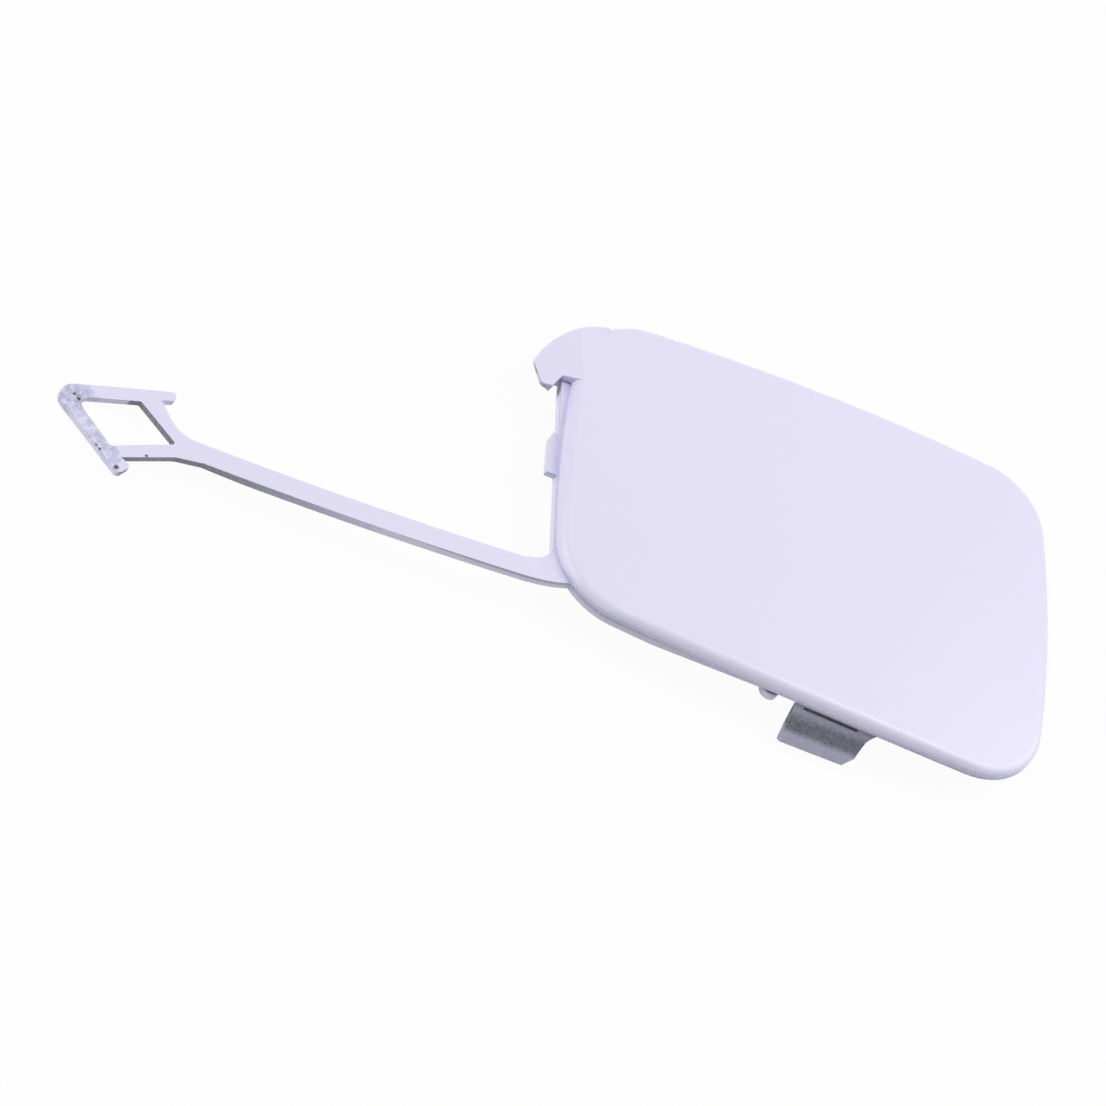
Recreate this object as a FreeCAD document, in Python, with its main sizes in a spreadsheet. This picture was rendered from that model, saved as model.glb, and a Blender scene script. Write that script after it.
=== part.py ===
import FreeCAD, Part
import math
import os
import Sketcher

# Cover for the towing-eye opening of a bumper, moulded in one piece.
# All lengths in millimetres. The origin is the middle of the panel in the seat plane of the
# rear flange, +X runs along the panel away from the tether strap, +Y up the panel, +Z out of
# the painted face.

SIZES = {
    # outline of the panel: four long bowed sides and four rounded corners
    "half_length": 41.77,
    "half_height": 30.33,
    "top_bow": 548.0,
    "right_bow": 220.0,
    "bottom_bow": 672.0,
    "left_bow": 200.0,
    "top_crest": 11.04,
    "right_crest": 2.16,
    "bottom_crest": 28.43,
    "left_crest": 3.25,
    "corner_top_right": 10.8,
    "corner_bottom_right": 12.5,
    "corner_bottom_left": 11.6,
    "corner_top_left": 12.5,
    # crowned plate of even wall with a rolled edge
    "crown_radius": 900.0,
    "crown_height": 4.5,
    "crown_turn": 10.0,
    "wall": 2.1,
    "edge_roll": 1.5,
    "plate_floor": 0.5,
    "plate_block": 6.0,
    # seating flange behind the rim
    "flange_inset": 2.2,
    "flange_inner": 5.3,
    "flange_height": 2.5,
    "lip_height": 1.6,
    "lip_inset": 0.5,
    "lip_rise": 2.53,
    "lip_end": 4.4,
    "lip_top": 13.5,
    "side_top_out": 0.8,
    "side_low_in": 0.35,
    "side_low_y": 19.0,
    "notch_start": 1.8,
    "notch_end": 17.5,
    "notch_rise": 2.73,
    # locating finger at the upper left corner
    "finger_height": 5.0,
    "finger_root_in": 5.57,
    "finger_root_down": 4.53,
    "finger_bow": 16.0,
    "finger_tip_out": 5.65,
    "finger_tip_y": 15.2,
    "finger_nose_out": 4.08,
    "finger_nose_y": 11.25,
    "finger_heel_out": 2.53,
    "finger_heel_y": 11.3,
    "finger_neck_out": 1.28,
    "finger_neck_y": 13.6,
    "finger_inner": 4.3,
    "finger_round": 0.9,
    "finger_end": 8.0,
    "slope_low": 0.96,
    "slope_in": 3.0,
    "slope_high": 3.82,
    "under_start": 1.3,
    "under_knee": 3.3,
    "under_level": 1.2,
    "under_rise": 1.35,
    # catch tab on the left side
    "tab_low": 0.25,
    "tab_thick": 1.0,
    "tab_out": 1.85,
    "tab_shoulder_out": 1.2,
    "tab_root_in": 0.6,
    "tab_bottom": 4.45,
    "tab_shoulder": 2.0,
    "tab_top": 3.5,
    # tether strap: gently bowed in plan, drooping from its root
    "strap_top": 1.65,
    "strap_thick": 1.35,
    "strap_width": 3.4,
    "strap_bow": 284.0,
    "strap_low_x": 28.73,
    "strap_low_y": 23.25,
    "strap_start": 57.73,
    "strap_end": 2.8,
    "droop_radius": 460.0,
    "droop_start": 2.23,
    "droop_reach": 79.23,
    "anchor_thick": 1.05,
    "taper_start": 55.23,
    "taper_end": 47.23,
    "blank_depth": 9.0,
    "blank_height": 2.4,
    "root_top_in": 0.3,
    "root_top_y": 17.4,
    "root_end_x": 3.83,
    "root_end_y": 21.9,
    "root_low_y": 25.5,
    "root_depth": 4.0,
    "root_depth_y": 23.6,
    "root_sweep": 4.4,
    "root_bow": 22.0,
    # push-in anchor: hollow arrow with two barbs, corner points in plan
    "apex_x": 78.45,
    "apex_y": 18.71,
    "apex_round": 2.3,
    "barb_top_x": 59.83,
    "barb_top_y": 14.02,
    "barb_top_low": 15.7,
    "barb_round": 0.45,
    "neck_top_x": 61.83,
    "neck_top_y": 16.25,
    "throat_top_x": 58.48,
    "throat_top_y": 21.95,
    "throat_top_round": 5.5,
    "throat_low_round": 3.2,
    "stem_x": 54.73,
    "stem_top_y": 22.0,
    "stem_low_y": 25.55,
    "throat_low_x": 58.63,
    "throat_low_y": 25.9,
    "neck_low_x": 66.43,
    "neck_low_y": 28.75,
    "barb_low_x": 64.98,
    "barb_low_y": 30.0,
    "barb_tip_x": 66.58,
    "barb_tip_y": 31.88,
    "barb_tip_round": 0.7,
    "eye_apex_x": 74.42,
    "eye_apex_y": 20.07,
    "eye_apex_round": 1.5,
    "eye_top_x": 64.78,
    "eye_top_y": 17.56,
    "eye_right_x": 58.88,
    "eye_right_y": 23.53,
    "eye_low_x": 68.26,
    "eye_low_y": 27.24,
    "eye_round": 0.35,
    # half-round lug on the lower edge
    "lug_x": 4.2,
    "lug_rise": 2.3,
    "lug_radius": 1.5,
    "lug_height": 1.4,
    # hook-in tongue with its slot
    "tongue_start": 0.2,
    "tongue_span": 16.9,
    "tongue_root_in": 1.53,
    "tongue_root_z": 2.45,
    "tongue_bend_out": 1.07,
    "tongue_bend_z": 1.9,
    "tongue_tip_out": 2.6,
    "tongue_tip_z": 3.85,
    "tongue_back_out": 1.4,
    "tongue_back_z": 4.75,
    "tongue_knee_in": 0.17,
    "tongue_knee_z": 2.75,
    "tongue_heel_in": 3.24,
    "tongue_tip_x": 10.7,
    "tongue_side_x": 12.2,
    "tongue_side_z": 2.6,
    "tongue_neck_x": 12.7,
    "tongue_neck_z": 0.1,
    "tongue_flare": 4.0,
    "tongue_flare_x": 16.2,
    "tongue_flare_z": 1.9,
    "slot_start": 1.4,
    "slot_end": 10.6,
    "slot_low": 0.72,
    "slot_high": 1.08,
    "slot_rise": 0.24,
    # ribs and snap legs on the hidden side
    "rib_thick": 1.2,
    "rib_low": 0.4,
    "rib_top": 3.0,
    "rib_end_in": 5.77,
    "rib_end_down": 6.33,
    "rib_spread": 13.0,
    "leg_foot": 5.446,
    "leg_width": 6.0,
    "leg_thick": 1.5,
    "leg_hook": 1.2,
    "hook_low": 4.9,
    "hook_high": 3.2,
    "top_leg_down": 8.13,
    "top_leg_spread": 20.0,
    "side_leg_in": 8.37,
    "side_leg_y": 10.0,
}

doc = FreeCAD.newDocument("TowEyeCover")
sheet = doc.addObject("Spreadsheet::Sheet", "Sheet")
for row, alias in enumerate(SIZES, start=1):
    sheet.set("A" + str(row), alias)
    sheet.set("B" + str(row), str(SIZES[alias]))
    sheet.setAlias("B" + str(row), alias)
doc.recompute()


def amount(text):
    """Value of a sum of named sizes and products, such as "- wall + 2*rim"."""
    total = 0.0
    sign = 1.0
    for word in text.split():
        if word in ("+", "-"):
            sign = -1.0 if word == "-" else 1.0
            continue
        product = 1.0
        for factor in word.split("*"):
            product *= SIZES[factor] if factor in SIZES else float(factor)
        total += sign * product
        sign = 1.0
    return total


def formula(text):
    """The same sum as an expression that reads the sheet."""
    words = ["0"] if text.startswith("-") else []
    for word in text.split():
        if word in ("+", "-"):
            words.append(word)
            continue
        factors = ["Sheet." + factor if factor in SIZES else factor for factor in word.split("*")]
        words.append(" * ".join(factors))
    return " ".join(words)


def new_body(name):
    return doc.addObject("PartDesign::Body", name)


def new_sketch(body, name, role, lift="0", slide="0"):
    """Sketch on one of the body's own origin planes, lifted along the plane's normal and slid
    along the sketch's own first axis."""
    sketch = body.newObject("Sketcher::SketchObject", name)
    plane = [item for item in body.Origin.OriginFeatures if item.Role == role][0]
    sketch.AttachmentSupport = (plane, "")
    sketch.MapMode = "FlatFace"
    if lift != "0":
        sketch.setExpression("AttachmentOffset.Base.z", formula(lift))
    if slide != "0":
        sketch.setExpression("AttachmentOffset.Base.x", formula(slide))
    return sketch


def bind(sketch, kind, where, text):
    """Adds a dimension and ties it to the sheet."""
    index = sketch.addConstraint(Sketcher.Constraint(kind, *where, amount(text)))
    sketch.setExpression("Constraints[" + str(index) + "]", formula(text))


def outline(sketch, inset):
    """Panel outline at a distance inside the rim: bowed sides and tangent corner arcs."""
    bows = [
        ("top_crest", "half_height - top_bow", "top_bow"),
        ("- half_length + left_bow", "- left_crest", "left_bow"),
        ("bottom_crest", "- half_height + bottom_bow", "bottom_bow"),
        ("half_length - right_bow", "- right_crest", "right_bow"),
    ]
    turns = ["corner_top_left", "corner_bottom_left", "corner_bottom_right", "corner_top_right"]
    corners = [(-1.0, 1.0), (-1.0, -1.0), (1.0, -1.0), (1.0, 1.0)]
    centres = []
    for index in range(4):
        first = bows[index]
        second = bows[(index + 1) % 4]
        turn = amount(turns[index])
        a = FreeCAD.Vector(amount(first[0]), amount(first[1]), 0)
        b = FreeCAD.Vector(amount(second[0]), amount(second[1]), 0)
        reach_a = amount(first[2]) - turn
        reach_b = amount(second[2]) - turn
        gap = (b - a).Length
        along = (reach_a ** 2 - reach_b ** 2 + gap ** 2) / (2 * gap)
        across = math.sqrt(reach_a ** 2 - along ** 2)
        axis = (b - a) / gap
        side = FreeCAD.Vector(-axis.y, axis.x, 0)
        found = [a + axis * along + side * across, a + axis * along - side * across]
        sx, sy = corners[index]
        centres.append(max(found, key=lambda point: sx * point.x + sy * point.y))
    pieces = []
    for index in range(4):
        bow = bows[index]
        centre = FreeCAD.Vector(amount(bow[0]), amount(bow[1]), 0)
        radius = amount(bow[2]) - amount(inset)
        before = centres[index - 1] - centre
        after = centres[index] - centre
        start = math.atan2(before.y, before.x)
        end = math.atan2(after.y, after.x)
        circle = Part.Circle(centre, FreeCAD.Vector(0, 0, 1), radius)
        pieces.append(sketch.addGeometry(Part.ArcOfCircle(circle, start, end), False))
        follow = bows[(index + 1) % 4]
        next_centre = FreeCAD.Vector(amount(follow[0]), amount(follow[1]), 0)
        leave = centres[index] - next_centre
        turn_end = math.atan2(leave.y, leave.x)
        small = Part.Circle(centres[index], FreeCAD.Vector(0, 0, 1), amount(turns[index]) - amount(inset))
        pieces.append(sketch.addGeometry(Part.ArcOfCircle(small, end, turn_end), False))
    for index in range(4):
        side = pieces[2 * index]
        corner = pieces[2 * index + 1]
        after = pieces[(2 * index + 2) % 8]
        sketch.addConstraint(Sketcher.Constraint("Tangent", side, 2, corner, 1))
        sketch.addConstraint(Sketcher.Constraint("Tangent", corner, 2, after, 1))
        bind(sketch, "DistanceX", (-1, 1, side, 3), bows[index][0])
        bind(sketch, "DistanceY", (-1, 1, side, 3), bows[index][1])
        less = "" if inset == "0" else " - " + inset
        if inset.startswith("-"):
            less = " + " + inset[2:]
        bind(sketch, "Radius", (side,), bows[index][2] + less)
        bind(sketch, "Radius", (corner,), turns[index] + less)


def loop(sketch, points):
    """Closed outline. A point is (x, y, rounding, bow): the corner's rounding radius, or the
    radius of the arc that leaves it, with a minus sign for an arc that turns clockwise."""
    count = len(points)
    spots = [FreeCAD.Vector(amount(point[0]), amount(point[1]), 0) for point in points]
    rounds = [point[2] if len(point) > 2 else "" for point in points]
    bows = [point[3] if len(point) > 3 else "" for point in points]
    entry = list(spots)
    leave = list(spots)
    for index in range(count):
        if rounds[index]:
            back = (spots[index - 1] - spots[index]).normalize()
            ahead = (spots[(index + 1) % count] - spots[index]).normalize()
            half = back.getAngle(ahead) / 2
            cut = amount(rounds[index]) / math.tan(half)
            entry[index] = spots[index] + back * cut
            leave[index] = spots[index] + ahead * cut
    sides = []
    for index in range(count):
        start = leave[index]
        end = entry[(index + 1) % count]
        if not bows[index]:
            key = sketch.addGeometry(Part.LineSegment(start, end), False)
            sides.append((key, 1, 2))
            continue
        clockwise = bows[index].startswith("-")
        radius = abs(amount(bows[index]))
        chord = end - start
        height = math.sqrt(radius ** 2 - (chord.Length / 2) ** 2)
        side = FreeCAD.Vector(-chord.y, chord.x, 0).normalize()
        centre = (start + end) / 2 + side * (-height if clockwise else height)
        first, last = (end, start) if clockwise else (start, end)
        begin = math.atan2(first.y - centre.y, first.x - centre.x)
        finish = math.atan2(last.y - centre.y, last.x - centre.x)
        circle = Part.Circle(centre, FreeCAD.Vector(0, 0, 1), radius)
        key = sketch.addGeometry(Part.ArcOfCircle(circle, begin, finish), False)
        sides.append((key, 2, 1) if clockwise else (key, 1, 2))
        bind(sketch, "Radius", (key,), bows[index].replace("- ", ""))
    for index in range(count):
        before = sides[index - 1]
        after = sides[index]
        if not rounds[index]:
            sketch.addConstraint(Sketcher.Constraint("Coincident", before[0], before[2], after[0], after[1]))
            mark = (after[0], after[1])
        else:
            back = (entry[index] - spots[index]).normalize()
            ahead = (leave[index] - spots[index]).normalize()
            middle = (back + ahead).normalize()
            radius = amount(rounds[index])
            centre = spots[index] + middle * (radius / math.sin(back.getAngle(ahead) / 2))
            left_turn = back.x * ahead.y - back.y * ahead.x < 0
            first, last = (entry[index], leave[index]) if left_turn else (leave[index], entry[index])
            begin = math.atan2(first.y - centre.y, first.x - centre.x)
            finish = math.atan2(last.y - centre.y, last.x - centre.x)
            circle = Part.Circle(centre, FreeCAD.Vector(0, 0, 1), radius)
            key = sketch.addGeometry(Part.ArcOfCircle(circle, begin, finish), False)
            near, far = (1, 2) if left_turn else (2, 1)
            sketch.addConstraint(Sketcher.Constraint("Tangent", before[0], before[2], key, near))
            sketch.addConstraint(Sketcher.Constraint("Tangent", key, far, after[0], after[1]))
            bind(sketch, "Radius", (key,), rounds[index])
            spot = sketch.addGeometry(Part.Point(spots[index]), True)
            sketch.addConstraint(Sketcher.Constraint("PointOnObject", spot, 1, before[0]))
            sketch.addConstraint(Sketcher.Constraint("PointOnObject", spot, 1, after[0]))
            mark = (spot, 1)
        for kind, text in (("DistanceX", points[index][0]), ("DistanceY", points[index][1])):
            if abs(amount(text)) > 1e-9:
                bind(sketch, kind, (-1, 1) + mark, text)
            else:
                axis = -2 if kind == "DistanceX" else -1
                sketch.addConstraint(Sketcher.Constraint("PointOnObject", mark[0], mark[1], axis))


def pad(body, sketch, name, length, midplane=False):
    feature = body.newObject("PartDesign::Pad", name)
    feature.Profile = sketch
    feature.Length = amount(length)
    feature.setExpression("Length", formula(length))
    feature.Midplane = midplane
    doc.recompute()
    return feature


def cut(body, sketch, name):
    """Pocket through everything, to both sides of the sketch."""
    before = body.Shape.Volume
    feature = body.newObject("PartDesign::Pocket", name)
    feature.Profile = sketch
    feature.Type = "ThroughAll"
    feature.Midplane = True
    doc.recompute()
    if body.Shape.Volume >= before - 1e-6:
        raise RuntimeError(name + " removed nothing")
    return feature


def cap(body, name, top, radius, lid):
    """Groove above or below a spherical crown, turned about a level axis through its centre."""
    sketch = new_sketch(body, name + "_sketch", "YZ_Plane")
    reach = amount("half_length + half_height")
    high = amount(top)
    size = amount(radius)
    level = amount(lid)
    rise = math.sqrt(size ** 2 - reach ** 2)
    edge = high - size + rise
    centre = FreeCAD.Vector(0, high - size, 0)
    axis_line = Part.LineSegment(FreeCAD.Vector(-reach, centre.y, 0), FreeCAD.Vector(reach, centre.y, 0))
    axis = sketch.addGeometry(axis_line, True)
    circle = Part.Circle(centre, FreeCAD.Vector(0, 0, 1), size)
    start = math.atan2(rise, reach)
    arc = sketch.addGeometry(Part.ArcOfCircle(circle, start, math.pi - start), False)
    spots = [(-reach, edge), (-reach, level), (reach, level), (reach, edge)]
    lines = []
    for first, second in zip(spots[:-1], spots[1:]):
        segment = Part.LineSegment(FreeCAD.Vector(*first, 0), FreeCAD.Vector(*second, 0))
        lines.append(sketch.addGeometry(segment, False))
    sketch.addConstraint(Sketcher.Constraint("Coincident", arc, 2, lines[0], 1))
    sketch.addConstraint(Sketcher.Constraint("Coincident", lines[0], 2, lines[1], 1))
    sketch.addConstraint(Sketcher.Constraint("Coincident", lines[1], 2, lines[2], 1))
    sketch.addConstraint(Sketcher.Constraint("Coincident", lines[2], 2, arc, 1))
    sketch.addConstraint(Sketcher.Constraint("Vertical", lines[0]))
    sketch.addConstraint(Sketcher.Constraint("Horizontal", lines[1]))
    sketch.addConstraint(Sketcher.Constraint("Vertical", lines[2]))
    sketch.addConstraint(Sketcher.Constraint("PointOnObject", arc, 3, -2))
    sketch.addConstraint(Sketcher.Constraint("PointOnObject", arc, 3, axis))
    sketch.addConstraint(Sketcher.Constraint("Horizontal", axis))
    bind(sketch, "DistanceX", (-1, 1, axis, 1), "- half_length - half_height")
    bind(sketch, "DistanceX", (-1, 1, axis, 2), "half_length + half_height")
    bind(sketch, "DistanceX", (-1, 1, lines[0], 1), "- half_length - half_height")
    bind(sketch, "DistanceX", (-1, 1, lines[2], 1), "half_length + half_height")
    bind(sketch, "DistanceY", (-1, 1, axis, 1), top + " - " + radius.replace(" - ", " + "))
    bind(sketch, "DistanceY", (-1, 1, lines[1], 1), lid)
    bind(sketch, "Radius", (arc,), radius)
    doc.recompute()
    before = body.Shape.Volume
    feature = body.newObject("PartDesign::Groove", name)
    feature.Profile = sketch
    feature.ReferenceAxis = (sketch, ["Axis0"])
    feature.Midplane = True
    feature.setExpression("Angle", "Sheet.crown_turn")
    doc.recompute()
    if body.Shape.Volume >= before - 1e-6:
        raise RuntimeError(name + " removed nothing")
    return feature


# Crowned panel: a block in the panel's outline, turned to a shallow crown outside and inside
# so that the wall stays even, and its outer edge rolled over.
panel = new_body("Panel")
panel_sketch = new_sketch(panel, "Panel_outline", "XY_Plane", "plate_floor")
outline(panel_sketch, "0")
doc.recompute()
pad(panel, panel_sketch, "Panel_block", "plate_block - plate_floor")
cap(panel, "Crown_outside", "crown_height", "crown_radius", "2*plate_block")
hollow = cap(panel, "Crown_inside", "crown_height - wall", "crown_radius - wall", "- plate_block")
crown = max(panel.Shape.Faces, key=lambda item: item.CenterOfMass.z)
side_edges = []
for face in panel.Shape.Faces:
    if isinstance(face.Surface, Part.Cylinder):
        side_edges.extend(face.Edges)
rim_edges = []
for number, edge in enumerate(panel.Shape.Edges, start=1):
    on_crown = any(edge.isSame(other) for other in crown.Edges)
    if on_crown and any(edge.isSame(other) for other in side_edges):
        rim_edges.append("Edge" + str(number))
roll = panel.newObject("PartDesign::Fillet", "Edge_roll")
roll.Base = (hollow, rim_edges)
roll.Radius = amount("edge_roll")
roll.setExpression("Radius", formula("edge_roll"))
doc.recompute()

# Seating flange: a ring set back behind the rim. At the left and lower left it comes out to the
# rim, and at the left side it stands a little proud. A notch lets the tongue pass.
flange = new_body("Flange")
ring_sketch = new_sketch(flange, "Ring_outline", "XY_Plane")
outline(ring_sketch, "flange_inset")
outline(ring_sketch, "flange_inner")
doc.recompute()
pad(flange, ring_sketch, "Ring", "flange_height")
notch_sketch = new_sketch(flange, "Notch_outline", "XY_Plane")
loop(notch_sketch, [
    ("- notch_start", "- 2*half_height"),
    ("notch_end", "- 2*half_height"),
    ("notch_end", "- half_height + notch_rise"),
    ("- notch_start", "- half_height + notch_rise"),
])
doc.recompute()
cut(flange, notch_sketch, "Notch")

near = new_body("NearFlange")
near_sketch = new_sketch(near, "Near_outline", "XY_Plane")
outline(near_sketch, "lip_inset")
outline(near_sketch, "flange_inner")
doc.recompute()
pad(near, near_sketch, "Near_ring", "flange_height")
clear_sketch = new_sketch(near, "Near_clear", "XY_Plane")
loop(clear_sketch, [
    ("- lip_end", "- half_height + lip_rise"),
    ("- lip_end", "lip_top"),
    ("- 2*half_length", "lip_top"),
    ("- 2*half_length", "2*half_height"),
    ("2*half_length", "2*half_height"),
    ("2*half_length", "- 2*half_height"),
    ("- 2*half_length", "- 2*half_height"),
    ("- 2*half_length", "- half_height + lip_rise"),
])
doc.recompute()
cut(near, clear_sketch, "Near_cleared")
side_sketch = new_sketch(near, "Side_lip_outline", "XY_Plane", "0", "- half_length")
loop(side_sketch, [
    ("- side_top_out", "lip_top"),
    ("side_low_in", "- side_low_y"),
    ("flange_inner", "- side_low_y"),
    ("flange_inner", "lip_top"),
])
doc.recompute()
pad(near, side_sketch, "Side_lip", "lip_height")

# Half-round lug that stands out of the lower edge beside the tongue.
lug = new_body("Lug")
lug_sketch = new_sketch(lug, "Lug_outline", "XY_Plane")
lug_centre = FreeCAD.Vector(amount("- lug_x"), amount("- half_height + lug_rise"), 0)
lug_circle = Part.Circle(lug_centre, FreeCAD.Vector(0, 0, 1), SIZES["lug_radius"])
lug_key = lug_sketch.addGeometry(lug_circle, False)
bind(lug_sketch, "Radius", (lug_key,), "lug_radius")
bind(lug_sketch, "DistanceX", (-1, 1, lug_key, 3), "- lug_x")
bind(lug_sketch, "DistanceY", (-1, 1, lug_key, 3), "- half_height + lug_rise")
doc.recompute()
pad(lug, lug_sketch, "Lug_plate", "lug_height")

# Locating finger at the upper left corner: its face carries on the panel's crown, then slopes
# down to a thin nose, and its underside rises to meet it.
finger = new_body("Finger")
finger_sketch = new_sketch(finger, "Finger_outline", "XY_Plane", "0", "- half_length")
loop(finger_sketch, [
    ("finger_root_in", "half_height - finger_root_down", "", "finger_bow"),
    ("- finger_tip_out", "finger_tip_y"),
    ("- finger_nose_out", "finger_nose_y", "finger_round"),
    ("- finger_heel_out", "finger_heel_y"),
    ("- finger_neck_out", "finger_neck_y"),
    ("finger_inner", "finger_neck_y"),
])
doc.recompute()
pad(finger, finger_sketch, "Finger_plate", "finger_height")
cap(finger, "Finger_crown", "crown_height", "crown_radius", "2*plate_block")
slope_sketch = new_sketch(finger, "Finger_slope_side", "XZ_Plane", "0", "- half_length")
loop(slope_sketch, [
    ("- finger_end", "slope_low"),
    ("slope_in", "slope_high"),
    ("slope_in", "2*finger_height"),
    ("- finger_end", "2*finger_height"),
])
doc.recompute()
cut(finger, slope_sketch, "Finger_slope")
under_sketch = new_sketch(finger, "Finger_under_side", "XZ_Plane", "0", "- half_length")
loop(under_sketch, [
    ("- under_start", "0"),
    ("- under_knee", "under_level"),
    ("- finger_end", "under_rise"),
    ("- finger_end", "- finger_height"),
    ("- under_start", "- finger_height"),
])
doc.recompute()
cut(finger, under_sketch, "Finger_under")

# Catch tab on the left side, chamfered above and square below.
tab = new_body("Tab")
tab_sketch = new_sketch(tab, "Tab_outline", "XY_Plane", "tab_low", "- half_length")
loop(tab_sketch, [
    ("tab_root_in", "tab_top"),
    ("- tab_shoulder_out", "tab_top"),
    ("- tab_out", "tab_shoulder"),
    ("- tab_out", "- tab_bottom"),
    ("tab_root_in", "- tab_bottom"),
])
doc.recompute()
pad(tab, tab_sketch, "Tab_plate", "tab_thick")

# Tether strap and push-in anchor: drawn in plan and padded deep, then cut to the drooping
# band between two arcs that start level at the strap's root. Its sketches count lengths from
# the panel's left end.
strap = new_body("Strap")
strap_sketch = new_sketch(strap, "Strap_outline", "XY_Plane", "- blank_depth", "- half_length")
strap_centre = FreeCAD.Vector(-SIZES["strap_low_x"], SIZES["strap_bow"] - SIZES["strap_low_y"], 0)
strap_arcs = []
for strap_radius in (SIZES["strap_bow"], SIZES["strap_bow"] + SIZES["strap_width"]):
    left = math.acos((-SIZES["strap_start"] - strap_centre.x) / strap_radius)
    right = math.acos((-SIZES["strap_end"] - strap_centre.x) / strap_radius)
    strap_circle = Part.Circle(strap_centre, FreeCAD.Vector(0, 0, 1), strap_radius)
    strap_arcs.append(strap_sketch.addGeometry(Part.ArcOfCircle(strap_circle, -left, -right), False))
strap_ends = []
for point in (1, 2):
    upper = strap_sketch.getPoint(strap_arcs[0], point)
    lower = strap_sketch.getPoint(strap_arcs[1], point)
    end_line = strap_sketch.addGeometry(Part.LineSegment(upper, lower), False)
    strap_sketch.addConstraint(Sketcher.Constraint("Coincident", end_line, 1, strap_arcs[0], point))
    strap_sketch.addConstraint(Sketcher.Constraint("Coincident", end_line, 2, strap_arcs[1], point))
    strap_sketch.addConstraint(Sketcher.Constraint("Vertical", end_line))
    strap_ends.append(end_line)
strap_sketch.addConstraint(Sketcher.Constraint("Coincident", strap_arcs[0], 3, strap_arcs[1], 3))
bind(strap_sketch, "DistanceX", (-1, 1, strap_arcs[0], 3), "- strap_low_x")
bind(strap_sketch, "DistanceY", (-1, 1, strap_arcs[0], 3), "strap_bow - strap_low_y")
bind(strap_sketch, "Radius", (strap_arcs[0],), "strap_bow")
bind(strap_sketch, "Radius", (strap_arcs[1],), "strap_bow + strap_width")
bind(strap_sketch, "DistanceX", (-1, 1, strap_ends[0], 1), "- strap_start")
bind(strap_sketch, "DistanceX", (-1, 1, strap_ends[1], 1), "- strap_end")
doc.recompute()
pad(strap, strap_sketch, "Strap_blank", "blank_depth + blank_height")
anchor_sketch = new_sketch(strap, "Anchor_outline", "XY_Plane", "- blank_depth", "- half_length")
loop(anchor_sketch, [
    ("- apex_x", "- apex_y", "apex_round"),
    ("- barb_tip_x", "- barb_tip_y", "barb_tip_round"),
    ("- barb_low_x", "- barb_low_y", "barb_round"),
    ("- neck_low_x", "- neck_low_y"),
    ("- throat_low_x", "- throat_low_y", "throat_low_round"),
    ("- stem_x", "- stem_low_y"),
    ("- stem_x", "- stem_top_y"),
    ("- throat_top_x", "- throat_top_y", "throat_top_round"),
    ("- neck_top_x", "- neck_top_y"),
    ("- barb_top_x", "- barb_top_low", "barb_round"),
    ("- barb_top_x", "- barb_top_y", "barb_round"),
])
doc.recompute()
pad(strap, anchor_sketch, "Anchor_blank", "blank_depth + blank_height")
eye_sketch = new_sketch(strap, "Eye_outline", "XY_Plane", "0", "- half_length")
loop(eye_sketch, [
    ("- eye_apex_x", "- eye_apex_y", "eye_apex_round"),
    ("- eye_low_x", "- eye_low_y", "eye_round"),
    ("- eye_right_x", "- eye_right_y", "eye_round"),
    ("- eye_top_x", "- eye_top_y", "eye_round"),
])
doc.recompute()
cut(strap, eye_sketch, "Eye")
root_sketch = new_sketch(strap, "Root_outline", "XY_Plane", "- blank_depth", "- half_length")
loop(root_sketch, [
    ("root_top_in", "- root_top_y", "", "- root_sweep"),
    ("- root_end_x", "- root_end_y"),
    ("- root_end_x", "- root_low_y", "", "root_bow"),
    ("root_depth", "- root_depth_y"),
    ("root_depth", "- root_top_y"),
])
doc.recompute()
pad(strap, root_sketch, "Root_blank", "blank_depth + blank_height")


def droop(text, x):
    """Height of a drooping arc at a distance x from the panel's left end."""
    radius = amount(text)
    return math.sqrt(radius ** 2 - (amount(x) - SIZES["droop_start"]) ** 2) - radius


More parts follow.
